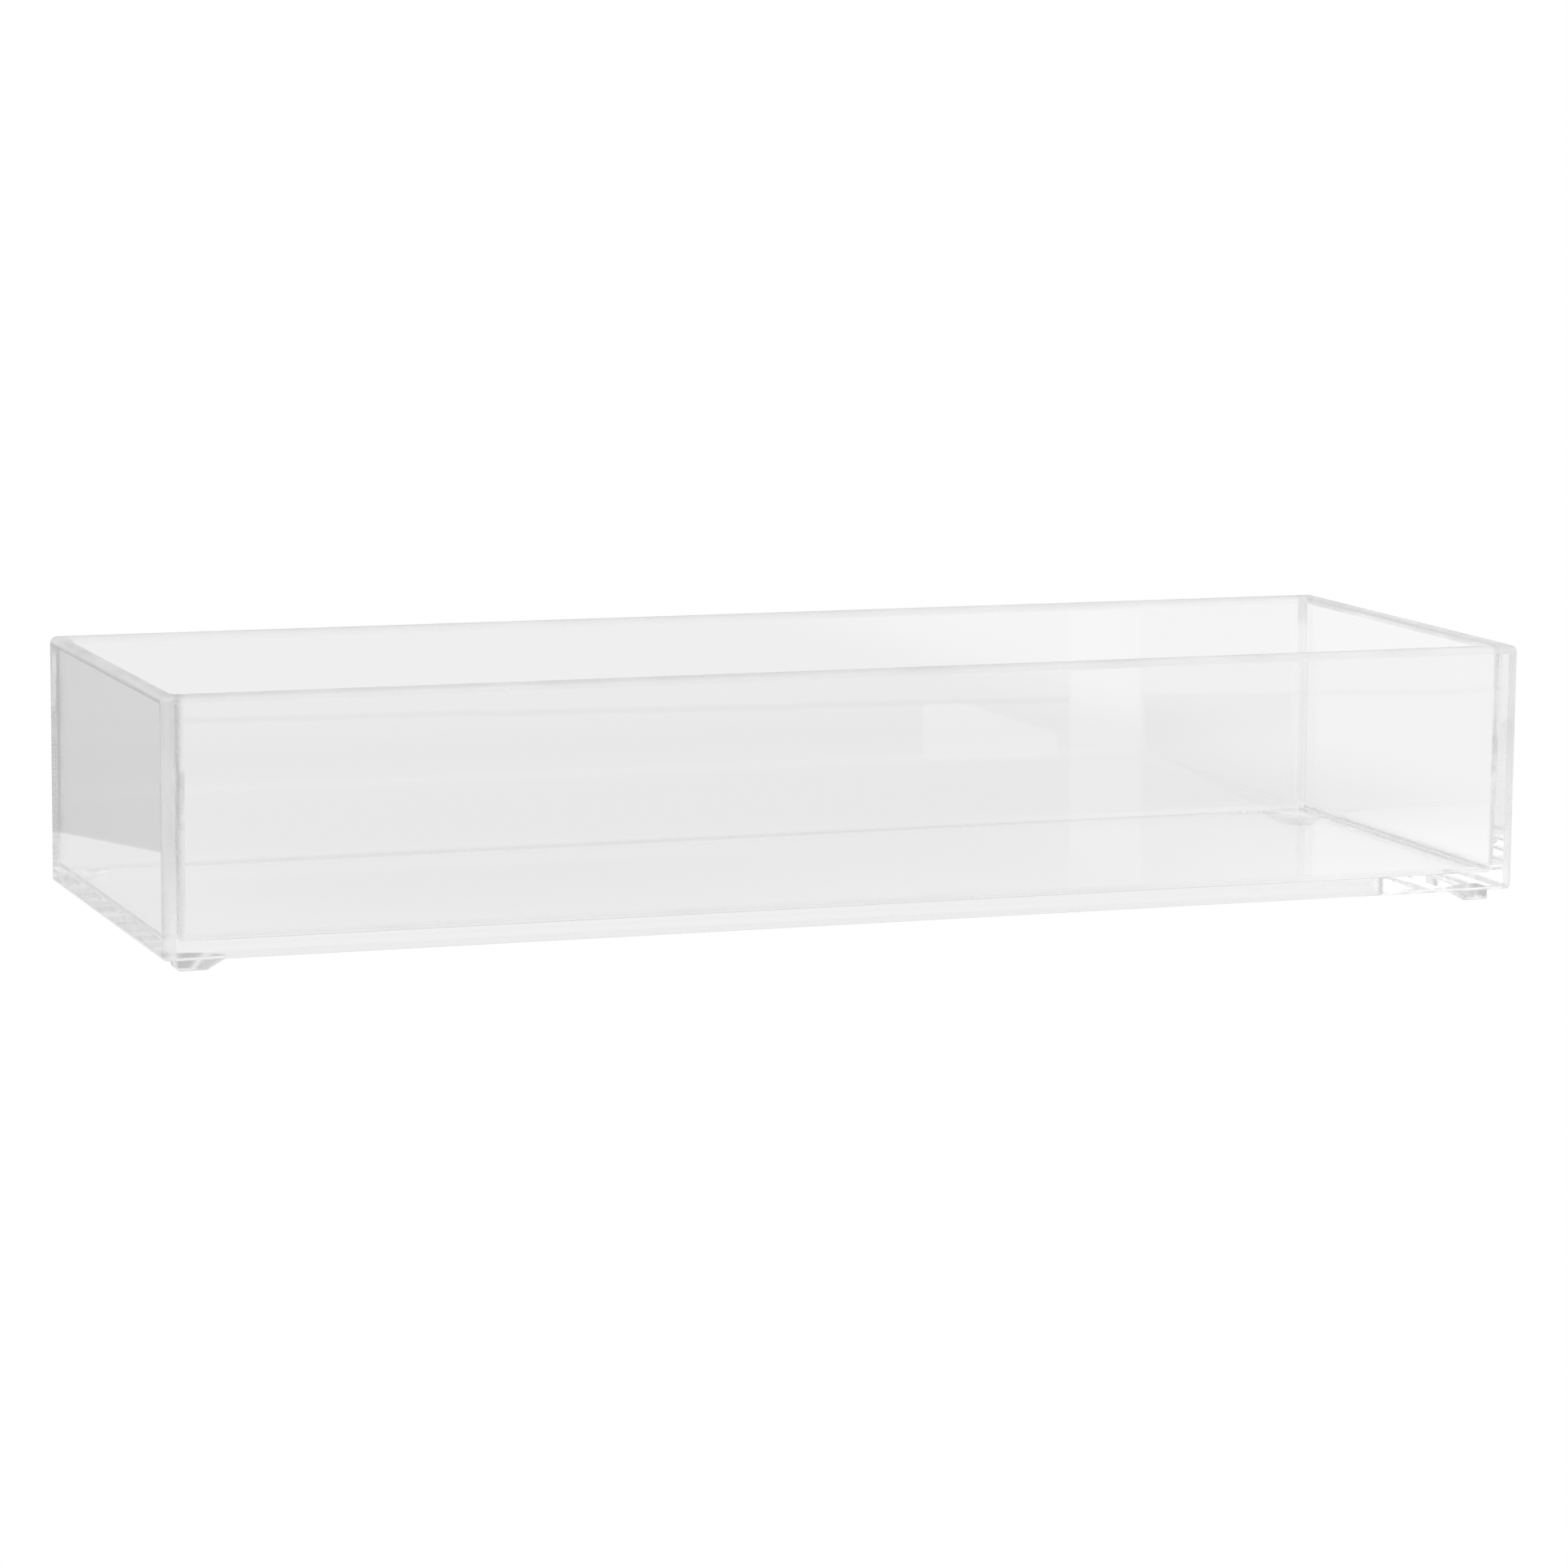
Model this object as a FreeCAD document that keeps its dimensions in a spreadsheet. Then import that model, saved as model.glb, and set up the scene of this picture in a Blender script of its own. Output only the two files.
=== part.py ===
import FreeCAD, Part
import math
import os
import Sketcher

# Clear open tray of cemented acrylic panels on four quarter-round stacking feet.
# Millimetres. +X runs along the tray, +Y to the back, +Z up.
# The origin is on the surface that the tray stands on, under the middle of the tray.

os.makedirs("parts", exist_ok=True)
doc = FreeCAD.newDocument("ClearTray")

# Driving dimensions
SIZES = [
    ("tray_length", 305.0, "outside, along X"),
    ("tray_width", 105.0, "outside, along Y"),
    ("wall_height", 54.2, "from the lower edge of the walls to the rim"),
    ("wall_thickness", 3.5, "front, back, left and right panels"),
    ("floor_thickness", 3.5, "bottom panel"),
    ("rim_round", 1.5, "round on both edges of the rim"),
    ("corner_round", 1.8, "round on the four upright outer edges"),
    ("base_round", 0.9, "round on the lower outer edges"),
    ("bead_radius", 1.6, "hollow of the cement in the inner seams"),
    ("foot_height", 2.8, "from the floor panel down to the ground"),
    ("foot_top_reach", 10.9, "radius of the foot where it meets the floor panel"),
    ("foot_tip_reach", 5.7, "radius of the foot on the ground"),
    ("foot_corner_round", 0.6, "round on the upright outer edge of a foot"),
    ("foot_edge_round", 0.35, "round on the edges that touch the ground"),
    ("stacking_play", 0.5, "between a foot and the walls of a tray stacked below"),
]
sheet = doc.addObject("Spreadsheet::Sheet", "sizes")
for row, (alias, value, note) in enumerate(SIZES, start=1):
    sheet.set(f"A{row}", alias)
    sheet.set(f"B{row}", str(value))
    sheet.set(f"C{row}", note)
    sheet.setAlias(f"B{row}", alias)
doc.recompute()

# How far a cutting outline stands clear of the panel that it cuts
CUT_MARGIN = 1.0
# How far off a measured position may be when an edge is looked up
NEAR = 0.001
QUARTER_TURN = 90

# The numbers by which a sketch knows its origin and axes, and the points of an edge
ORIGIN, X_AXIS, Y_AXIS = -1, -1, -2
START, END, CENTRE = 1, 2, 3


def size(alias):
    """The number in a cell of the sheet."""
    return float(sheet.get(alias))


def origin_feature(body, role):
    """One of the body's own origin planes or axes, such as XY_Plane."""
    return next(feature for feature in body.Origin.OriginFeatures if feature.Role == role)


def new_body(name):
    """An empty body, named and labelled for the piece."""
    body = doc.addObject("PartDesign::Body", name)
    body.Label = name
    return body


def new_sketch(body, name, role):
    """An empty sketch on one of the body's origin planes."""
    sketch = body.newObject("Sketcher::SketchObject", name)
    sketch.AttachmentSupport = (origin_feature(body, role), [""])
    sketch.MapMode = "FlatFace"
    return sketch


def line(sketch, start, end):
    """Adds a straight edge and gives its number."""
    edge = Part.LineSegment(FreeCAD.Vector(*start, 0), FreeCAD.Vector(*end, 0))
    return sketch.addGeometry(edge, False)


def arc(sketch, centre, radius, first_degrees, last_degrees):
    """Adds an anticlockwise arc and gives its number."""
    circle = Part.Circle(FreeCAD.Vector(*centre, 0), FreeCAD.Vector(0, 0, 1), radius)
    edge = Part.ArcOfCircle(circle, math.radians(first_degrees), math.radians(last_degrees))
    return sketch.addGeometry(edge, False)


def join(sketch, kind, *corners):
    """Ties edge ends together, Coincident for a corner and Tangent for a smooth run."""
    for corner in corners:
        sketch.addConstraint(Sketcher.Constraint(kind, *corner))


def level(sketch, *edges):
    """Keeps edges parallel to the sketch's first axis."""
    for edge in edges:
        sketch.addConstraint(Sketcher.Constraint("Horizontal", edge))


def upright(sketch, *edges):
    """Keeps edges parallel to the sketch's second axis."""
    for edge in edges:
        sketch.addConstraint(Sketcher.Constraint("Vertical", edge))


def drive(sketch, name, kind, references, value, rule):
    """Adds a dimension and ties it to the sheet."""
    index = sketch.addConstraint(Sketcher.Constraint(kind, *references, value))
    sketch.renameConstraint(index, name)
    sketch.setExpression(f"Constraints.{name}", rule)


def place(piece, x_rule, y_rule, z_rule, turn=0):
    """Puts a piece where the sheet says, turned about Z by so many degrees."""
    piece.Placement = FreeCAD.Placement(FreeCAD.Vector(), FreeCAD.Rotation(turn, 0, 0))
    piece.setExpression("Placement.Base.x", x_rule)
    piece.setExpression("Placement.Base.y", y_rule)
    piece.setExpression("Placement.Base.z", z_rule)


# Walls
def draw_wall_section(body):
    """Cross-section of a wall with its outer face at zero, and both edges of the rim rounded."""
    thick = size("wall_thickness")
    high = size("wall_height")
    rim = size("rim_round")
    base = size("base_round")
    sketch = new_sketch(body, "section", "YZ_Plane")
    underside = line(sketch, (base, 0), (thick, 0))
    inside = line(sketch, (thick, 0), (thick, high - rim))
    inner_rim = arc(sketch, (thick - rim, high - rim), rim, 0, 90)
    top = line(sketch, (thick - rim, high), (rim, high))
    outer_rim = arc(sketch, (rim, high - rim), rim, 90, 180)
    outside = line(sketch, (0, high - rim), (0, base))
    outer_base = arc(sketch, (base, base), base, 180, 270)
    join(sketch, "Coincident", (underside, END, inside, START))
    join(
        sketch,
        "Tangent",
        (inside, END, inner_rim, START),
        (inner_rim, END, top, START),
        (top, END, outer_rim, START),
        (outer_rim, END, outside, START),
        (outside, END, outer_base, START),
        (outer_base, END, underside, START),
    )
    level(sketch, underside, top)
    upright(sketch, inside, outside)
    join(sketch, "PointOnObject", (outside, START, Y_AXIS), (underside, START, X_AXIS))
    drive(sketch, "thick", "DistanceX", (ORIGIN, START, inside, START), thick, "sizes.wall_thickness")
    drive(sketch, "high", "DistanceY", (ORIGIN, START, top, START), high, "sizes.wall_height")
    drive(sketch, "inner_rim", "Radius", (inner_rim,), rim, "sizes.rim_round")
    drive(sketch, "outer_rim", "Radius", (outer_rim,), rim, "sizes.rim_round")
    drive(sketch, "outer_base", "Radius", (outer_base,), base, "sizes.base_round")
    return sketch


def draw_mitre(sketch, end, length):
    """What comes off one end of a wall: all beyond the 45 degree joint and the eased corner."""
    thick = size("wall_thickness")
    corner = size("corner_round")
    far = thick + CUT_MARGIN
    eased_end = corner * (1 - math.sqrt(0.5))

    def along(distance):
        return distance if end == "start" else size(length) - distance

    def along_rule(rule):
        return rule if end == "start" else f"sizes.{length} - ({rule})"

    joint = line(sketch, (along(eased_end), eased_end), (along(far), far))
    inner_side = line(sketch, (along(far), far), (along(-CUT_MARGIN), far))
    beyond = line(sketch, (along(-CUT_MARGIN), far), (along(-CUT_MARGIN), -CUT_MARGIN))
    outer_side = line(sketch, (along(-CUT_MARGIN), -CUT_MARGIN), (along(corner), -CUT_MARGIN))
    entry = line(sketch, (along(corner), -CUT_MARGIN), (along(corner), 0))
    if end == "start":
        eased = arc(sketch, (along(corner), corner), corner, 225, 270)
        at_joint, at_entry = START, END
    else:
        eased = arc(sketch, (along(corner), corner), corner, 270, 315)
        at_joint, at_entry = END, START
    join(
        sketch,
        "Coincident",
        (joint, END, inner_side, START),
        (inner_side, END, beyond, START),
        (beyond, END, outer_side, START),
        (outer_side, END, entry, START),
        (entry, END, eased, at_entry),
        (eased, at_joint, joint, START),
    )
    level(sketch, inner_side, outer_side)
    upright(sketch, beyond, entry)
    join(sketch, "PointOnObject", (entry, END, X_AXIS), (eased, CENTRE, joint), (eased, CENTRE, entry))
    drive(sketch, f"{end}_corner", "Radius", (eased,), corner, "sizes.corner_round")
    for name, point, at, rule in (
        ("centre", (eased, CENTRE), corner, "sizes.corner_round"),
        ("far", (joint, END), far, f"sizes.wall_thickness + {CUT_MARGIN}"),
        ("near", (beyond, END), -CUT_MARGIN, f"-{CUT_MARGIN}"),
    ):
        origin_to_point = (ORIGIN, START, *point)
        drive(sketch, f"{end}_{name}_along", "DistanceX", origin_to_point, along(at), along_rule(rule))
        if name != "centre":
            drive(sketch, f"{end}_{name}_across", "DistanceY", origin_to_point, at, rule)


def make_wall(name, length, x_rule, y_rule, turn):
    """A panel along the body's X with its outer face towards -Y, mitred at both ends."""
    body = new_body(name)
    panel = body.newObject("PartDesign::Pad", "panel")
    panel.Profile = draw_wall_section(body)
    panel.setExpression("Length", f"sizes.{length}")
    doc.recompute()
    mitres = new_sketch(body, "mitres", "XY_Plane")
    draw_mitre(mitres, "start", length)
    draw_mitre(mitres, "end", length)
    mitred = body.newObject("PartDesign::Pocket", "mitred_ends")
    mitred.Profile = mitres
    mitred.Type = "ThroughAll"
    mitred.Reversed = True
    doc.recompute()
    if mitred.Shape.Volume >= panel.Shape.Volume:
        raise ValueError(f"the mitres of {name} cut nothing")
    place(body, x_rule, y_rule, "sizes.foot_height", turn)
    return body


# Floor
def make_floor():
    """The bottom panel, let in between the walls with its underside flush with their lower edges."""
    panel = doc.addObject("Part::Box", "floor_panel")
    panel.setExpression("Length", "sizes.tray_length - 2 * sizes.wall_thickness")
    panel.setExpression("Width", "sizes.tray_width - 2 * sizes.wall_thickness")
    panel.setExpression("Height", "sizes.floor_thickness")
    place(panel, f"-{panel.Name}.Length / 2", f"-{panel.Name}.Width / 2", "sizes.foot_height")
    return panel


# Cement
def edge_numbers(shape, wanted):
    """The numbers of the edges for which wanted(edge) is true."""
    return [number for number, edge in enumerate(shape.Edges, start=1) if wanted(edge)]


def is_upright(edge):
    """True for an edge that runs straight up."""
    direction = edge.lastVertex().Point - edge.firstVertex().Point
    return abs(direction.x) < NEAR and abs(direction.y) < NEAR


def is_level_at(edge, height):
    """True for an edge that lies at this height all along."""
    return abs(edge.BoundBox.ZMin - height) < NEAR and abs(edge.BoundBox.ZMax - height) < NEAR


def make_cement_fillet():
    """The clear bead in the inner seams: the sharp hollow of the tray less the same hollow rounded."""
    hollow = doc.addObject("Part::Box", "hollow")
    hollow.setExpression("Length", "floor_panel.Length")
    hollow.setExpression("Width", "floor_panel.Width")
    hollow.setExpression("Height", "sizes.wall_height - sizes.rim_round - sizes.floor_thickness")
    place(hollow, "-hollow.Length / 2", "-hollow.Width / 2", "sizes.foot_height + sizes.floor_thickness")
    doc.recompute()
    bottom = hollow.Shape.BoundBox.ZMin
    seams = edge_numbers(hollow.Shape, lambda edge: is_upright(edge) or is_level_at(edge, bottom))
    rounded = doc.addObject("Part::Fillet", "rounded_hollow")
    rounded.Base = hollow
    rounded.Edges = [(seam, size("bead_radius"), size("bead_radius")) for seam in seams]
    bead = doc.addObject("Part::Cut", "cement_fillet")
    bead.Base = hollow
    bead.Tool = rounded
    return bead


# Feet
def make_foot(name, x_rule, y_rule, turn):
    """A quarter of a low cone, flat on its two outer sides, with its upright outer edge at zero."""
    top = size("foot_top_reach")
    tip = size("foot_tip_reach")
    high = size("foot_height")
    body = new_body(name)
    sketch = new_sketch(body, "profile", "XZ_Plane")
    ground = line(sketch, (0, 0), (tip, 0))
    flare = line(sketch, (tip, 0), (top, high))
    seat = line(sketch, (top, high), (0, high))
    core = line(sketch, (0, high), (0, 0))
    join(
        sketch,
        "Coincident",
        (ground, END, flare, START),
        (flare, END, seat, START),
        (seat, END, core, START),
        (core, END, ground, START),
        (ground, START, ORIGIN, START),
    )
    level(sketch, ground, seat)
    upright(sketch, core)
    drive(sketch, "tip", "DistanceX", (ORIGIN, START, ground, END), tip, "sizes.foot_tip_reach")
    drive(sketch, "top", "DistanceX", (ORIGIN, START, seat, START), top, "sizes.foot_top_reach")
    drive(sketch, "high", "DistanceY", (ORIGIN, START, seat, START), high, "sizes.foot_height")
    quarter = body.newObject("PartDesign::Revolution", "quarter_cone")
    quarter.Profile = sketch
    quarter.ReferenceAxis = (sketch, ["V_Axis"])
    quarter.Angle = QUARTER_TURN
    doc.recompute()
    if quarter.Shape.BoundBox.YMin < -NEAR:
        raise ValueError(f"{name} is turned the wrong way")

    outer = edge_numbers(quarter.Shape, lambda edge: is_upright(edge) and edge.BoundBox.XMax < NEAR)
    eased = body.newObject("PartDesign::Fillet", "eased_corner")
    eased.Base = (quarter, [f"Edge{number}" for number in outer])
    eased.setExpression("Radius", "sizes.foot_corner_round")
    doc.recompute()

    rubbing = edge_numbers(eased.Shape, lambda edge: is_level_at(edge, 0))
    rounded = body.newObject("PartDesign::Fillet", "rounded_ground_edges")
    rounded.Base = (eased, [f"Edge{number}" for number in rubbing])
    rounded.setExpression("Radius", "sizes.foot_edge_round")
    place(body, x_rule, y_rule, "0 mm", turn)
    return body


LEFT = "-sizes.tray_length / 2"
RIGHT = "sizes.tray_length / 2"
FRONT = "-sizes.tray_width / 2"
BACK = "sizes.tray_width / 2"
FOOT_INSET = "(sizes.wall_thickness + sizes.stacking_play)"

pieces = [
    make_floor(),
    make_wall("front_wall", "tray_length", LEFT, FRONT, 0),
    make_wall("right_wall", "tray_width", RIGHT, FRONT, QUARTER_TURN),
    make_wall("back_wall", "tray_length", RIGHT, BACK, 2 * QUARTER_TURN),
    make_wall("left_wall", "tray_width", LEFT, BACK, 3 * QUARTER_TURN),
    make_cement_fillet(),
    make_foot("front_left_foot", f"{LEFT} + {FOOT_INSET}", f"{FRONT} + {FOOT_INSET}", 0),
    make_foot("front_right_foot", f"{RIGHT} - {FOOT_INSET}", f"{FRONT} + {FOOT_INSET}", QUARTER_TURN),
    make_foot("back_right_foot", f"{RIGHT} - {FOOT_INSET}", f"{BACK} - {FOOT_INSET}", 2 * QUARTER_TURN),
    make_foot("back_left_foot", f"{LEFT} + {FOOT_INSET}", f"{BACK} - {FOOT_INSET}", 3 * QUARTER_TURN),
]
doc.recompute()

for item in doc.Objects:
    if "Invalid" in item.State or "Error" in item.State:
        raise RuntimeError(f"{item.Label} did not build")
for piece in pieces:
    if piece.Shape.isNull() or not piece.Shape.isValid() or len(piece.Shape.Solids) != 1:
        raise RuntimeError(f"{piece.Label} is not one sound solid")
for piece in pieces:
    piece.Shape.exportStep(f"parts/{piece.Label}.step")
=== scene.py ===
import math

import bpy
import numpy as np
from mathutils import Matrix, Vector
from mathutils.geometry import delaunay_2d_cdt


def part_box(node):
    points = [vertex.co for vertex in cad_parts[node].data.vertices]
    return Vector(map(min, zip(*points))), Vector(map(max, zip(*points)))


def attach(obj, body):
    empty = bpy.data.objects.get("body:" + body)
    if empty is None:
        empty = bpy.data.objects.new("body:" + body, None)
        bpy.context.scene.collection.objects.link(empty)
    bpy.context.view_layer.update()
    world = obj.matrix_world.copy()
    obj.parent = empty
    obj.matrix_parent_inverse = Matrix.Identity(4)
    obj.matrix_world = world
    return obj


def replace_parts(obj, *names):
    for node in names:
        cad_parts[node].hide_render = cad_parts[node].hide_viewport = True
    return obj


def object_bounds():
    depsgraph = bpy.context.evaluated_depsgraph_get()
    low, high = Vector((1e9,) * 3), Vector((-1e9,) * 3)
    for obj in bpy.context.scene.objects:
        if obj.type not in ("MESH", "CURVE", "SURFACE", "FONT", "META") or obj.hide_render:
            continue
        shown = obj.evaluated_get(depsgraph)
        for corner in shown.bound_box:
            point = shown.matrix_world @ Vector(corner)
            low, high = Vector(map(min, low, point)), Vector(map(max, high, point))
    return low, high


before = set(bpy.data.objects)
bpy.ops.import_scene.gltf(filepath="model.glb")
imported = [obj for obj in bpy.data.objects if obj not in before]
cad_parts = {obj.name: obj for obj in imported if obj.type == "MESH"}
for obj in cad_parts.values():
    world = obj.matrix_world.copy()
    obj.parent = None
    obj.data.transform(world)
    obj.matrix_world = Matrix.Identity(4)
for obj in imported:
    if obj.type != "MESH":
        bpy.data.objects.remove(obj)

# Clear acrylic tray: five cemented panels, the cement in the seams and four feet.
# Metres, in the frame of the solids: X along the tray, Y to the back, Z up.

CAD_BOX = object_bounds()
MM = 0.001

# Sizes read from the solids
TRAY_LOW, TRAY_HIGH = (np.array(corner) for corner in CAD_BOX)
LENGTH, WIDTH = (TRAY_HIGH - TRAY_LOW)[:2]
RIM_Z = TRAY_HIGH[2]
FLOOR_LOW, FLOOR_HIGH = (np.array(corner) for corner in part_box("floor_panel"))
UNDER_Z = FLOOR_LOW[2]
FLOOR_Z = FLOOR_HIGH[2]
WALL = FLOOR_LOW[1] - TRAY_LOW[1]
FOOT_LOW, FOOT_HIGH = (np.array(corner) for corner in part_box("front_left_foot"))
FOOT_INSET = FOOT_LOW[0] - TRAY_LOW[0]
FOOT_TOP_REACH = FOOT_HIGH[0] - FOOT_LOW[0]

# Rounds and other small sizes
RIM_ROUND = 1.5 * MM
CORNER_ROUND = 1.8 * MM
BASE_ROUND = 0.9 * MM
BEAD = 1.6 * MM
FOOT_TIP_REACH = 5.7 * MM
FOOT_CORNER_ROUND = 0.6 * MM
FOOT_EDGE_ROUND = 0.35 * MM

# Straight steps in a quarter round
ROUND_STEPS = 16
QUARTER = math.pi / 2

# Material slots of every piece: its polished outside, and where it is cemented to another
OUTSIDE = 0
JOINT = 1

# Where patches are joined, points are rounded to this step, and equal ones become one
WELD = 0.0002 * MM
# Points of a plan that are nearer than this are one, in metres
SAME_PLACE = 1e-7
# Asks the triangulation for the triangles inside its outlines only
INSIDE_ONLY = 1


# Surfaces
def sheet(points, normals, finish=OUTSIDE):
    """A smooth patch: points[i, j] with an outward normal[i, j], joined into four-sided cells."""
    rows, columns = points.shape[:2]
    first = (np.arange(rows - 1)[:, None] * columns + np.arange(columns - 1)[None, :]).ravel()
    cells = np.stack([first, first + 1, first + columns + 1, first + columns], axis=1)
    flat_points = points.reshape(-1, 3)
    flat_normals = np.broadcast_to(normals, points.shape).reshape(-1, 3)
    across = flat_points[cells[:, 2]] - flat_points[cells[:, 0]]
    along = flat_points[cells[:, 3]] - flat_points[cells[:, 1]]
    facing = np.einsum("ij,ij->i", np.cross(across, along), flat_normals[cells].mean(axis=1))
    cells[facing < 0] = cells[facing < 0][:, ::-1]
    return flat_points, [flat_normals[cell] for cell in cells], [cell for cell in cells], finish


def plate(points, normal, finish=OUTSIDE):
    """A flat patch with any outline. Its corners are put in the turn that faces along the normal."""
    points = np.asarray(points, dtype=float)
    normal = np.asarray(normal, dtype=float)
    turn = np.cross(points, np.roll(points, -1, axis=0)).sum(axis=0)
    order = np.arange(len(points))
    if turn @ normal < 0:
        order = order[::-1]
    return points, [np.tile(normal, (len(points), 1))], [order], finish


def turned(patches, angle, shift):
    """The patches turned about Z, then moved."""
    cosine, sine = math.cos(angle), math.sin(angle)
    turn = np.array([[cosine, sine, 0], [-sine, cosine, 0], [0, 0, 1]])
    return [
        (points @ turn + shift, [normal @ turn for normal in normals], cells, finish)
        for points, normals, cells, finish in patches
    ]


def solid(name, patches, materials):
    """Joins patches into one closed mesh: equal points become one, and each cell keeps its normals."""
    offsets = np.cumsum([0] + [len(points) for points, *_ in patches[:-1]])
    every_point = np.concatenate([points for points, *_ in patches])
    keys = np.round(every_point / WELD).astype(np.int64)
    _, kept, index = np.unique(keys, axis=0, return_index=True, return_inverse=True)
    index = index.ravel()
    faces, loop_normals, finishes = [], [], []
    for offset, (_, normals, cells, finish) in zip(offsets, patches):
        for cell, cell_normals in zip(cells, normals):
            corners = index[cell + offset]
            distinct = corners != np.roll(corners, -1)
            if distinct.sum() < 3:
                continue
            faces.append(corners[distinct].tolist())
            loop_normals.extend(cell_normals[distinct].tolist())
            finishes.append(finish)
    mesh = bpy.data.meshes.new(name)
    mesh.from_pydata(every_point[kept].tolist(), [], faces)
    for material in materials:
        mesh.materials.append(material)
    mesh.polygons.foreach_set("material_index", finishes)
    mesh.polygons.foreach_set("use_smooth", [True] * len(faces))
    mesh.normals_split_custom_set(loop_normals)
    piece = bpy.data.objects.new(name, mesh)
    bpy.context.collection.objects.link(piece)
    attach(piece, "root")
    return piece


def quarter_round(centre, radius, start, steps=ROUND_STEPS):
    """Depth and height along a clockwise quarter circle: centre + radius (cos a, sin a), with normals."""
    angle = start - np.linspace(0, QUARTER, steps + 1)
    normal = np.stack([np.cos(angle), np.sin(angle)], axis=1)
    return np.asarray(centre) + radius * normal, normal


def straight(start, end, normal):
    """Depth and height of a straight run between two points."""
    return np.array([start, end]), np.array([normal, normal], dtype=float)


# Walls
def wall_patch(run, run_normals, length):
    """Carries a run of the wall's section along the wall.
    At depth v, near an end, the point follows a circle of radius CORNER_ROUND - v about the corner's centre
    from the 45 degree joint to the straight. Deeper than CORNER_ROUND it starts on the joint, at u = v."""
    depth, height = run[:, :1], run[:, 1:]
    radius = np.maximum(CORNER_ROUND - depth, 0)
    swing = QUARTER / 2 * (1 - np.linspace(0, 1, ROUND_STEPS // 2 + 1))[None, :]
    share = np.arange(swing.size)[None, :] / swing.size
    in_round = radius > 0
    mitred = depth + (WALL + BEAD - depth) * share
    along = np.where(in_round, CORNER_ROUND - radius * np.sin(swing), mitred)
    inward = np.where(in_round, CORNER_ROUND - radius * np.cos(swing), depth)
    lean = np.where(in_round, swing, 0.0)
    side = run_normals[:, :1]
    full = np.ones_like(depth)
    along = np.hstack([along, (WALL + BEAD) * full, (length - WALL - BEAD) * full, length - along[:, ::-1]])
    inward = np.hstack([inward, depth, depth, inward[:, ::-1]])
    lean = np.hstack([lean, 0 * full, 0 * full, -lean[:, ::-1]])
    points = np.stack([along, inward, height * np.ones_like(along)], axis=2)
    lift = run_normals[:, 1:] * np.ones_like(lean)
    normals = np.stack([side * np.sin(lean), side * np.cos(lean), lift], axis=2)
    return points, normals


def wall_patches(length):
    """One wall with its outer face at depth zero: a closed section of straight and round runs, carried along
    the wall, with mitred ends."""
    bead_top = FLOOR_Z + BEAD
    runs = [
        (straight((WALL, UNDER_Z), (BASE_ROUND, UNDER_Z), (0, -1)), OUTSIDE, OUTSIDE),
        (quarter_round((BASE_ROUND, UNDER_Z + BASE_ROUND), BASE_ROUND, -QUARTER), OUTSIDE, OUTSIDE),
        (straight((0, UNDER_Z + BASE_ROUND), (0, RIM_Z - RIM_ROUND), (-1, 0)), OUTSIDE, OUTSIDE),
        (quarter_round((RIM_ROUND, RIM_Z - RIM_ROUND), RIM_ROUND, 2 * QUARTER), OUTSIDE, OUTSIDE),
        (straight((RIM_ROUND, RIM_Z), (WALL - RIM_ROUND, RIM_Z), (0, 1)), OUTSIDE, OUTSIDE),
        (quarter_round((WALL - RIM_ROUND, RIM_Z - RIM_ROUND), RIM_ROUND, QUARTER), OUTSIDE, JOINT),
        (straight((WALL, RIM_Z - RIM_ROUND), (WALL, bead_top), (1, 0)), OUTSIDE, JOINT),
        (straight((WALL, bead_top), (WALL, FLOOR_Z), (1, 0)), JOINT, JOINT),
        (straight((WALL, FLOOR_Z), (WALL, UNDER_Z), (1, 0)), JOINT, JOINT),
    ]
    patches = []
    ends = []
    for (run, run_normals), finish, corner_finish in runs:
        points, normals = wall_patch(run, run_normals, length)
        bend = points.shape[1] // 2 - 1
        patches.append(sheet(points[:, : bend + 1], normals[:, : bend + 1], corner_finish))
        patches.append(sheet(points[:, bend : bend + 2], normals[:, bend : bend + 2], finish))
        patches.append(sheet(points[:, bend + 1 :], normals[:, bend + 1 :], corner_finish))
        ends.append(points[:-1, [0, -1]])
    ends = np.concatenate(ends)
    patches.append(plate(ends[:, 0], (-1, 1, 0) / np.sqrt(2), JOINT))
    patches.append(plate(ends[:, 1], (1, 1, 0) / np.sqrt(2), JOINT))
    return patches


# Floor panel
def foot_ring(inset, height):
    """Plan of a foot at a height: a small round at its outer corner, two flat sides, and a quarter circle
    about that corner whose radius grows evenly from FOOT_TIP_REACH on the ground to FOOT_TOP_REACH."""
    reach = FOOT_TIP_REACH + (FOOT_TOP_REACH - FOOT_TIP_REACH) * height / UNDER_Z
    turn = np.linspace(0, QUARTER, ROUND_STEPS + 1)
    radius = FOOT_CORNER_ROUND - inset
    corner = FOOT_CORNER_ROUND - radius * np.stack([np.cos(turn), np.sin(turn)], axis=1)
    spare = math.asin(inset / reach)
    sweep = np.linspace(spare, QUARTER - spare, 2 * ROUND_STEPS + 1)
    flare = reach * np.stack([np.cos(sweep), np.sin(sweep)], axis=1)
    return corner, flare, turn, sweep


def at_height(plan, height):
    """Plan points lifted to a height."""
    plan = np.asarray(plan)
    return np.concatenate([plan, np.full((*plan.shape[:-1], 1), height)], axis=-1)


CORNERS = [
    (0 * QUARTER, np.array([TRAY_LOW[0], TRAY_LOW[1], 0]), LENGTH),
    (1 * QUARTER, np.array([TRAY_HIGH[0], TRAY_LOW[1], 0]), WIDTH),
    (2 * QUARTER, np.array([TRAY_HIGH[0], TRAY_HIGH[1], 0]), LENGTH),
    (3 * QUARTER, np.array([TRAY_LOW[0], TRAY_HIGH[1], 0]), WIDTH),
]


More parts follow.
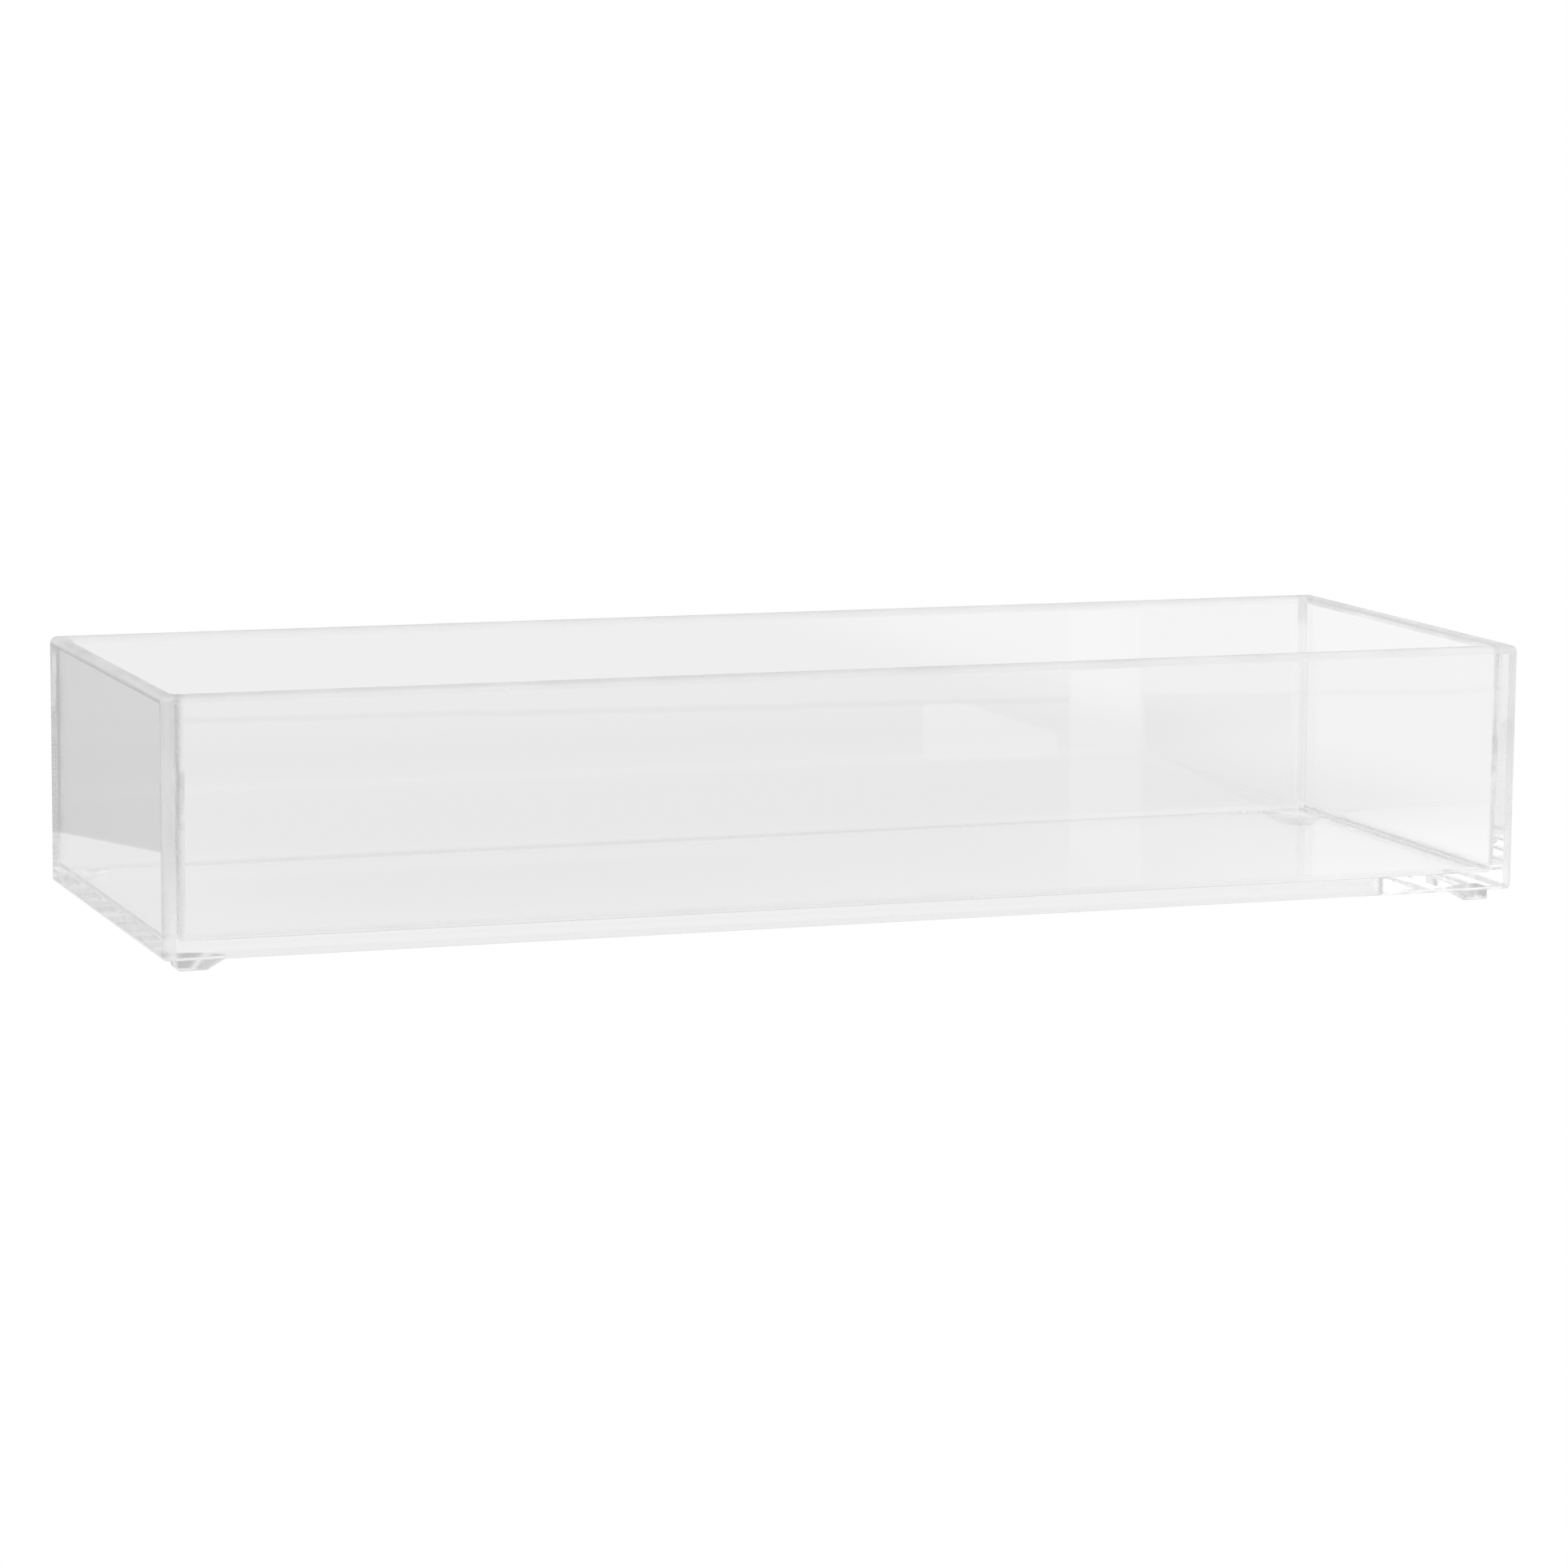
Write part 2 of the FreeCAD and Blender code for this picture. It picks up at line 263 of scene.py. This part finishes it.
def floor_patches():
    """The bottom panel: flat plates, polished above and below, cemented at its edges, under the bead and over
    the feet."""
    front_right, back_left = (FLOOR_HIGH[0], FLOOR_LOW[1]), (FLOOR_LOW[0], FLOOR_HIGH[1])
    rim = at_height([FLOOR_LOW[:2], front_right, FLOOR_HIGH[:2], back_left], 0)
    up = np.array([0, 0, 1])
    middle = rim - BEAD * np.sign(rim)
    patches = [plate(middle + FLOOR_Z * up, up)]
    for this, following in zip(range(4), (1, 2, 3, 0)):
        outward = np.cross(rim[following] - rim[this], up)
        outward = outward / np.linalg.norm(outward)
        strip = np.array([rim[this], rim[following], middle[following], middle[this]]) + FLOOR_Z * up
        edge = np.array([rim[this] + FLOOR_Z * up, rim[following] + FLOOR_Z * up,
                         rim[following] + UNDER_Z * up, rim[this] + UNDER_Z * up])
        patches += [plate(strip, up, JOINT), plate(edge, outward, JOINT)]

    corner, flare, _, _ = foot_ring(0, UNDER_Z)
    seat = at_height(np.concatenate([corner, flare]) + FOOT_INSET, 0)
    outlines = [rim] + [turned([plate(seat, up)], angle, place)[0][0] for angle, place, _ in CORNERS]
    points = [Vector(point[:2]) for outline in outlines for point in outline]
    starts = np.cumsum([0] + [len(outline) for outline in outlines])
    rings = [list(range(start, stop)) for start, stop in zip(starts[:-1], starts[1:])]
    met, _, cells, _, _, outlines_round = delaunay_2d_cdt(points, [], rings, INSIDE_ONLY, SAME_PLACE)
    under = at_height([tuple(point) for point in met], UNDER_Z)
    for cell, within in zip(cells, outlines_round):
        patches.append(plate(under[list(cell)], -up, JOINT if max(within) > 0 else OUTSIDE))
    return patches


# Cement
def bead_patches(length):
    """One inner corner and the seams that start there. Every visible point lies on a circle about the line
    u = v = WALL + BEAD: a ball at the bottom, a hollow round up the corner and a wider one over the rim."""
    centre = WALL + BEAD
    turn = np.linspace(0, QUARTER, ROUND_STEPS + 1)
    rise = turn[:, None]
    top = RIM_Z - RIM_ROUND

    def round_about(depth, height, side, lift):
        radius = centre - depth
        spread = [centre - radius * np.cos(turn), centre - radius * np.sin(turn), height + 0 * turn * radius]
        lean = [side * np.cos(turn), side * np.sin(turn), lift + 0 * turn * radius]
        return np.stack(spread, axis=2), np.stack(lean, axis=2)

    low_depth = centre - BEAD * np.sin(rise)
    low_height = FLOOR_Z + BEAD - BEAD * np.cos(rise)
    rim_depth = WALL - RIM_ROUND + RIM_ROUND * np.cos(rise)
    rim_height = top + RIM_ROUND * np.sin(rise)
    post_height = np.array([[FLOOR_Z + BEAD], [top]])
    ones = np.ones((2, 1))
    patches = [
        sheet(*round_about(low_depth, low_height, np.sin(rise), np.cos(rise))),
        sheet(*round_about(WALL * ones, post_height, ones, 0 * ones)),
        sheet(*round_about(rim_depth, rim_height, np.cos(rise), np.sin(rise))),
    ]
    lid = round_about(rim_depth, rim_height, 0 * rise, 0 * rise + 1)[0][-1]
    mitre = [[WALL - RIM_ROUND, WALL - RIM_ROUND, RIM_Z]]
    patches.append(plate(np.concatenate([lid, mitre]), (0, 0, 1)))

    rim_columns = (rim_depth, rim_height, np.cos(rise), np.sin(rise))
    depth, height, lean, lift = (column.ravel() for column in rim_columns)
    nothing = 0 * depth
    on_mitre = np.stack([depth, depth, height], axis=1)
    for end, normal in (
        (np.stack([centre + nothing, depth, height], axis=1), np.stack([nothing, -lean, -lift], axis=1)),
        (np.stack([depth, centre + nothing, height], axis=1), np.stack([-lean, nothing, -lift], axis=1)),
    ):
        patches.append(sheet(np.stack([on_mitre, end], axis=1), np.stack([normal, normal], axis=1), JOINT))

    near, far = centre, length - centre
    seam = [np.hstack([axis, axis]) for axis in (low_depth, low_height, np.sin(rise), np.cos(rise))]
    along = np.array([[near, far]]) * np.ones_like(rise)
    seam_points = np.stack([along, seam[0], seam[1]], axis=2)
    seam_normals = np.stack([0 * along, seam[2], seam[3]], axis=2)
    patches.append(sheet(seam_points, seam_normals))
    against_wall = [
        (WALL, FLOOR_Z), (length - WALL, FLOOR_Z), (length - WALL, top), (far, top),
        (far, FLOOR_Z + BEAD), (near, FLOOR_Z + BEAD), (near, top), (WALL, top),
    ]
    patches.append(plate([(reach, WALL, level) for reach, level in against_wall], (0, -1, 0), JOINT))
    on_floor = [(WALL, WALL), (length - WALL, WALL), (far, centre), (near, centre)]
    patches.append(plate(at_height(on_floor, FLOOR_Z), (0, 0, -1), JOINT))
    return patches


# Feet
def foot_patches():
    """One foot: rings of foot_ring from the seat down, the last ones drawn in along a quarter round."""
    turn = np.linspace(0, QUARTER, ROUND_STEPS // 2 + 1)
    levels = [(UNDER_Z, 0, 0.0)]
    levels += [(FOOT_EDGE_ROUND * (1 - math.sin(a)), FOOT_EDGE_ROUND * (1 - math.cos(a)), a) for a in turn]
    rings = [foot_ring(inset, height) for height, inset, _ in levels]
    heights = [height for height, _, _ in levels]
    side = np.array([math.cos(a) for _, _, a in levels])[:, None]
    sink = np.array([-math.sin(a) for _, _, a in levels])[:, None]
    corner = np.stack([at_height(ring[0], height) for ring, height in zip(rings, heights)])
    flare = np.stack([at_height(ring[1], height) for ring, height in zip(rings, heights)])
    around = rings[0][2][None, :]
    corner_normals = np.stack([-side * np.cos(around), -side * np.sin(around), sink + 0 * around], axis=2)
    sweep = np.stack([ring[3] for ring in rings])
    slope = math.atan2(FOOT_TOP_REACH - FOOT_TIP_REACH, UNDER_Z)
    outward, downward = math.cos(slope), 0 * sweep - math.sin(slope)
    flare_normals = np.stack([outward * np.cos(sweep), outward * np.sin(sweep), downward], axis=2)
    front = np.stack([corner[:, -1], flare[:, 0]], axis=1)
    left = np.stack([corner[:, 0], flare[:, -1]], axis=1)
    return [
        sheet(corner, corner_normals),
        sheet(flare, flare_normals),
        sheet(front, np.stack([corner_normals[:, -1]] * 2, axis=1)),
        sheet(left, np.stack([corner_normals[:, 0]] * 2, axis=1)),
        plate(np.concatenate([corner[0], flare[0]]), (0, 0, 1), JOINT),
        plate(np.concatenate([corner[-1], flare[-1]]), (0, 0, -1)),
    ]


# Materials
def new_material(name):
    """An empty node material."""
    material = bpy.data.materials.new(name)
    material.use_nodes = True
    material.node_tree.nodes.clear()
    return material, material.node_tree


def add(tree, kind, inputs=(), **settings):
    """A node with its settings, and its inputs fed by values or by other nodes' outputs."""
    node = tree.nodes.new(kind)
    for name, value in settings.items():
        setattr(node, name, value)
    for key, value in dict(inputs).items():
        if isinstance(value, bpy.types.NodeSocket):
            tree.links.new(value, node.inputs[key])
        else:
            node.inputs[key].default_value = value
    return node


# Cemented faces: the grain of the starved patches, where in the noise they start and are full, how strongly
# they mirror at most, and how rough they are there
STARVED_GRAIN = 130.0
STARVED_START, STARVED_FULL = 0.52, 0.68
STARVED_MOST = 0.35
STARVED_ROUGHNESS = (0.04, 0.08)
# The end seams start this many bead radii in from the wall's inner face
SEAM_END_REACH = 1.01


def joint_material():
    """Light goes straight through a cemented face. In the end seams it has faint starved patches, which
    mirror it."""
    material, tree = new_material("cemented_joint")
    place = add(tree, "ShaderNodeTexCoord").outputs["Object"]
    spread = add(tree, "ShaderNodeTexNoise", {
        "Vector": place, "Scale": STARVED_GRAIN, "Detail": 2.0,
    }).outputs["Fac"]
    along = add(tree, "ShaderNodeSeparateXYZ", {0: place}).outputs["X"]
    off_centre = add(tree, "ShaderNodeMath", {0: along}, operation="ABSOLUTE").outputs[0]
    seam_end = LENGTH / 2 - WALL - SEAM_END_REACH * BEAD
    at_end = add(tree, "ShaderNodeMath", {0: off_centre, 1: seam_end}, operation="GREATER_THAN").outputs[0]
    most = add(tree, "ShaderNodeMath", {0: at_end, 1: STARVED_MOST}, operation="MULTIPLY").outputs[0]
    starved = add(tree, "ShaderNodeMapRange", {
        "Value": spread, "From Min": STARVED_START, "From Max": STARVED_FULL, "To Min": 0.0, "To Max": most,
    }).outputs[0]
    smoothest, roughest = STARVED_ROUGHNESS
    roughness = add(tree, "ShaderNodeMapRange", {
        "Value": spread, "From Min": 0.5, "From Max": 0.7, "To Min": smoothest, "To Max": roughest,
    }).outputs[0]
    joint = add(tree, "ShaderNodeBsdfPrincipled", {
        "Base Color": (1, 1, 1, 1), "Metallic": 1.0, "Roughness": roughness, "Alpha": starved,
    })
    add(tree, "ShaderNodeOutputMaterial", {"Surface": joint.outputs[0]})
    return material


# Clear acrylic: its refractive index, the grain of the wiping marks, and how far they change the roughness
ACRYLIC_IOR = 1.49
WIPE_GRAIN = 60.0
LEAST_WIPED, MOST_WIPED = 0.7, 1.3
# Width of the soft edge of the satin zones, as shares of the rounds that they start on
RIM_BLEND, CORNER_BLEND = 0.3, 0.2
# The satin zone of the upright corners reaches this share of a wall's thickness along the long walls
CORNER_ZONE = 0.8


def acrylic_material(name, polish, edge_polish, edge_height, wave, wave_size):
    """Clear acrylic, bent by a slow wave. It has one roughness below a height, and another above it and on
    the upright corners."""
    material, tree = new_material(name)
    place = add(tree, "ShaderNodeTexCoord").outputs["Object"]
    x, y, z = add(tree, "ShaderNodeSeparateXYZ", {0: place}).outputs
    rim = add(tree, "ShaderNodeMapRange", {
        "Value": z, "From Min": edge_height, "From Max": edge_height + RIM_BLEND * RIM_ROUND,
    }).outputs[0]
    reach = []
    for offset, start in ((x, LENGTH / 2 - CORNER_ZONE * WALL), (y, WIDTH / 2 - CORNER_ROUND)):
        away = add(tree, "ShaderNodeMath", {0: offset}, operation="ABSOLUTE").outputs[0]
        reach.append(add(tree, "ShaderNodeMath", {0: away, 1: start}, operation="SUBTRACT").outputs[0])
    corner = add(tree, "ShaderNodeMath", {0: reach[0], 1: reach[1]}, operation="MINIMUM").outputs[0]
    upright = add(tree, "ShaderNodeMapRange", {
        "Value": corner, "From Min": 0.0, "From Max": CORNER_BLEND * CORNER_ROUND,
    }).outputs[0]
    buffed = add(tree, "ShaderNodeMath", {0: rim, 1: upright}, operation="MAXIMUM").outputs[0]
    wipe = add(tree, "ShaderNodeTexNoise", {
        "Vector": place, "Scale": WIPE_GRAIN, "Detail": 4.0,
    }).outputs["Fac"]
    edge = add(tree, "ShaderNodeMapRange", {
        "Value": wipe, "From Min": 0.3, "From Max": 0.7,
        "To Min": LEAST_WIPED * edge_polish, "To Max": MOST_WIPED * edge_polish,
    }).outputs[0]
    face = add(tree, "ShaderNodeMapRange", {
        "Value": wipe, "From Min": 0.3, "From Max": 0.7,
        "To Min": LEAST_WIPED * polish, "To Max": MOST_WIPED * polish,
    }).outputs[0]
    roughness = add(tree, "ShaderNodeMix", {0: buffed, 2: face, 3: edge}, data_type="FLOAT").outputs[0]
    ripple = add(tree, "ShaderNodeTexNoise", {
        "Vector": place, "Scale": 1 / wave_size, "Detail": 1.0,
    }).outputs["Fac"]
    bump = add(tree, "ShaderNodeBump", {"Strength": 1.0, "Distance": wave, "Height": ripple}).outputs[0]
    shader = add(tree, "ShaderNodeBsdfPrincipled", {
        "Base Color": (1, 1, 1, 1), "Roughness": roughness, "IOR": ACRYLIC_IOR,
        "Transmission Weight": 1.0, "Normal": bump,
    })
    add(tree, "ShaderNodeOutputMaterial", {"Surface": shader.outputs[0]})
    return material


JOINT_MATERIAL = joint_material()
# The satin rim starts this many rim rounds below the top
RIM_ZONE = 1.3
BUFFED_Z = RIM_Z - RIM_ZONE * RIM_ROUND
# The cement is duller above the bead along the floor
UPRIGHT_Z = FLOOR_Z + BEAD
WALL_ACRYLIC = acrylic_material(
    "clear_acrylic", polish=0.004, edge_polish=0.37, edge_height=BUFFED_Z, wave=0.003 * MM, wave_size=20 * MM,
)
SEAM_CEMENT = acrylic_material(
    "acrylic_cement", polish=0.2, edge_polish=0.45, edge_height=UPRIGHT_Z, wave=0.004 * MM, wave_size=6 * MM,
)
FOOT_ACRYLIC = acrylic_material(
    "foot_acrylic", polish=0.2, edge_polish=0.2, edge_height=BUFFED_Z, wave=0.01 * MM, wave_size=3 * MM,
)
ACRYLIC = [WALL_ACRYLIC, JOINT_MATERIAL]
CEMENT = [SEAM_CEMENT, JOINT_MATERIAL]
FEET = [FOOT_ACRYLIC, JOINT_MATERIAL]

# Pieces
for name, (angle, place, length) in zip(("front_wall", "right_wall", "back_wall", "left_wall"), CORNERS):
    patches = turned(wall_patches(length), angle, place)
    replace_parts(solid(name + "_clear", patches, ACRYLIC), name)
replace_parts(solid("floor_panel_clear", floor_patches(), ACRYLIC), "floor_panel")
bead = [patch for angle, place, length in CORNERS for patch in turned(bead_patches(length), angle, place)]
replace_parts(solid("cement_fillet_clear", bead, CEMENT), "cement_fillet")
inset = np.array([FOOT_INSET, FOOT_INSET, 0])
for name, (angle, place, _) in zip(("front_left", "front_right", "back_right", "back_left"), CORNERS):
    patches = turned(turned(foot_patches(), 0, inset), angle, place)
    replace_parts(solid(name + "_foot_clear", patches, FEET), name + "_foot")

# Camera, fitted to the photograph: turned right, tilted down and rolled, in radians
PHOTO_SIZE = 1932
PHOTO_CENTRE = PHOTO_SIZE / 2
FOCAL_PIXELS = 6555.7
TURN, TILT, ROLL = 0.35279, 0.14788, 0.00933
CAMERA_PLACE = Vector((-0.40035, -1.08670, 0.19776))
# Millimetres. Only its ratio to the lens counts.
SENSOR_WIDTH = 36

ahead = Vector((math.sin(TURN) * math.cos(TILT), math.cos(TURN) * math.cos(TILT), -math.sin(TILT)))
level_right = Vector((math.cos(TURN), -math.sin(TURN), 0))
level_up = level_right.cross(ahead)
image_right = level_right * math.cos(ROLL) + level_up * math.sin(ROLL)
image_up = level_up * math.cos(ROLL) - level_right * math.sin(ROLL)
camera_data = bpy.data.cameras.new("camera")
camera_data.sensor_width = SENSOR_WIDTH
camera_data.lens = FOCAL_PIXELS / PHOTO_SIZE * camera_data.sensor_width
camera = bpy.data.objects.new("camera", camera_data)
facing = Matrix((image_right, image_up, -ahead)).transposed().to_4x4()
camera.matrix_world = Matrix.Translation(CAMERA_PLACE) @ facing
bpy.context.collection.objects.link(camera)
bpy.context.scene.camera = camera


# Studio: the table and the air around it are plain white to the camera. The tray sees their patches of light
# and shade, each given by its sides (direction, where it starts, where it is full) and the strength in them.

# Half the width of the soft edge of a mirrored patch, in photo pixels
SOFT_PIXELS = 2


def mirrored(*corners):
    """Sides of the patch of air that the long walls and the polished table mirror at these photo pixels.
    The ray through each corner is reversed in Y by the wall and in Z by the table. A side is the plane
    through two neighbouring rays."""
    soft = SOFT_PIXELS / FOCAL_PIXELS
    air = []
    for x, y in corners:
        ray = ahead + (image_right * (x - PHOTO_CENTRE) + image_up * (PHOTO_CENTRE - y)) / FOCAL_PIXELS
        air.append(Vector((ray.x, -ray.y, -ray.z)).normalized())
    middle = sum(air, Vector())
    sides = []
    for first, second in zip(air, air[1:] + air[:1]):
        side = first.cross(second).normalized()
        sides.append((side if side.dot(middle) > 0 else -side, -soft, soft))
    return sides


RIGHT, LEFT, BACK, FRONT, UP, DOWN = (1, 0, 0), (-1, 0, 0), (0, 1, 0), (0, -1, 0), (0, 0, 1), (0, 0, -1)
# Strength of the white that the camera sees
PAPER = 1.0

# The table, in metres from the middle of the tray. The near edge of the painted shade patch was worked out
# from the lower edge of the shade in the left wall.
TABLE = 0.858
# Painted shade patch on the table: its direction, and where its near edge starts and is full
SHADE_PATCH_AWAY = (-0.9169, 0.3992, 0)
SHADE_PATCH_START, SHADE_PATCH_FULL = 0.2117, 0.2127
TABLE_PATCHES = [
    # Broad light and shade: far table, right, front right, left, front left, and a painted shadow of the tray
    # under it
    ([(BACK, 0.2, 0.35)], 0.895),
    ([(RIGHT, 0.16, 0.24)], 0.95),
    ([(RIGHT, 0.05, 0.13), (FRONT, -0.09, -0.03)], 0.95),
    ([(LEFT, 0.15, 0.16)], 0.78),
    ([(FRONT, 0.06, 0.2), (LEFT, 0.08, 0.16)], 0.95),
    # Painted shadow of the tray, on the table under it
    ([(FRONT, -0.05, -0.04), (BACK, -0.05, -0.04), (LEFT, -0.05, 0.05), (RIGHT, -0.16, -0.15)], 0.82),
    # Painted shade on the table behind on the left, a dark patch which the left wall mirrors
    ([(SHADE_PATCH_AWAY, SHADE_PATCH_START, SHADE_PATCH_FULL), (LEFT, 0.154, 0.157)], 0.44),
]
# The part of the table that mirrors the air, though not for the camera
POLISHED = [(FRONT, 0.06, 0.16), (RIGHT, -0.16, -0.08)]

# Corners, in photo pixels, of what the long walls mirror
FAR_EDGE = ((40, 889), (1900, 845), (1900, 852), (40, 896))
WIDE_PANE = ((1137, 868), (1190, 867), (1302, 903), (1302, 935), (1137, 935))
NARROW_PANE = ((1318, 700), (1406, 700), (1406, 1200), (1318, 1200))
DARK_CORNER = ((1410, 863), (1596, 858), (1596, 1003), (1540, 987), (1413, 925))

# The air, by direction
AIR = 0.88
AIR_PATCHES = [
    # Broad light: right, left and overhead
    ([(RIGHT, 0.5, 0.9)], 0.8),
    ([(LEFT, 0.1, 0.35)], 1.15),
    ([(UP, 0.75, 0.95)], 0.75),
    # Shade high behind the tray, and low in front of it
    ([(UP, 0.45, 0.56), (BACK, 0.2, 0.4), (DOWN, -0.9, -0.8)], 0.52),
    ([(FRONT, 0.5, 0.7), (DOWN, -0.3, -0.22)], 0.45),
    # In that front shade a far edge, two window panes and a dark corner
    (mirrored(*FAR_EDGE), 0.22),
    (mirrored(*WIDE_PANE), 0.66),
    (mirrored(*NARROW_PANE), 0.66),
    (mirrored(*DARK_CORNER), 0.2),
]


def inside(tree, vector, sides):
    """One inside the straight sides, falling smoothly to nothing outside them: the product of one smooth step
    for each side."""
    share = 1.0
    for direction, start, full in sides:
        dot = add(tree, "ShaderNodeVectorMath", {0: vector, 1: direction}, operation="DOT_PRODUCT")
        ramp = add(tree, "ShaderNodeMapRange", {
            "Value": dot.outputs["Value"], "From Min": start, "From Max": full,
        }, interpolation_type="SMOOTHSTEP").outputs[0]
        share = add(tree, "ShaderNodeMath", {0: share, 1: ramp}, operation="MULTIPLY").outputs[0]
    return share


def lit(tree, vector, strength, patches):
    """The strength that the tray sees, pulled to each patch's own inside it, and plain white for the
    camera."""
    for sides, level in patches:
        share = inside(tree, vector, sides)
        pulled = add(tree, "ShaderNodeMix", {0: share, 2: strength, 3: level}, data_type="FLOAT")
        strength = pulled.outputs[0]
    camera = add(tree, "ShaderNodeLightPath").outputs["Is Camera Ray"]
    return add(tree, "ShaderNodeMix", {0: camera, 2: strength, 3: PAPER}, data_type="FLOAT").outputs[0]


paper, tree = new_material("paper")
place = add(tree, "ShaderNodeTexCoord").outputs["Object"]
table_light = lit(tree, place, TABLE, TABLE_PATCHES)
# The table glows with painted light and shade for the tray's rays, and plain white for the camera
glow = add(tree, "ShaderNodeEmission", {"Color": (1, 1, 1, 1), "Strength": table_light})
gloss = add(tree, "ShaderNodeBsdfAnisotropic", {"Color": (1, 1, 1, 1), "Roughness": 0.0})
camera_ray = add(tree, "ShaderNodeLightPath").outputs["Is Camera Ray"]
polished = inside(tree, place, POLISHED)
polish = add(tree, "ShaderNodeMix", {0: camera_ray, 2: polished, 3: 0.0}, data_type="FLOAT")
table = add(tree, "ShaderNodeMixShader", {0: polish.outputs[0], 1: glow.outputs[0], 2: gloss.outputs[0]})
add(tree, "ShaderNodeOutputMaterial", {"Surface": table.outputs[0]})

# Half the side of the table, in metres
REACH = 20.0
table_corners = [(-REACH, -REACH, 0), (REACH, -REACH, 0), (REACH, REACH, 0), (-REACH, REACH, 0)]
mesh = bpy.data.meshes.new("floor")
mesh.from_pydata(table_corners, [], [(0, 1, 2, 3)])
mesh.materials.append(paper)
floor = bpy.data.objects.new("floor", mesh)
bpy.context.collection.objects.link(floor)

world = bpy.data.worlds.new("studio")
bpy.context.scene.world = world
world.use_nodes = True
tree = world.node_tree
tree.nodes.clear()
direction = add(tree, "ShaderNodeTexCoord").outputs["Generated"]
air_light = lit(tree, direction, AIR, AIR_PATCHES)
air = add(tree, "ShaderNodeBackground", {"Color": (1, 1, 1, 1), "Strength": air_light})
add(tree, "ShaderNodeOutputWorld", {"Surface": air.outputs[0]})

bpy.context.scene.view_settings.view_transform = "Standard"

# Enough bounces for light that is caught between the walls' faces
BOUNCES = 96
cycles = bpy.context.scene.cycles
cycles.max_bounces = BOUNCES
cycles.transmission_bounces = BOUNCES
cycles.glossy_bounces = BOUNCES
cycles.transparent_max_bounces = BOUNCES
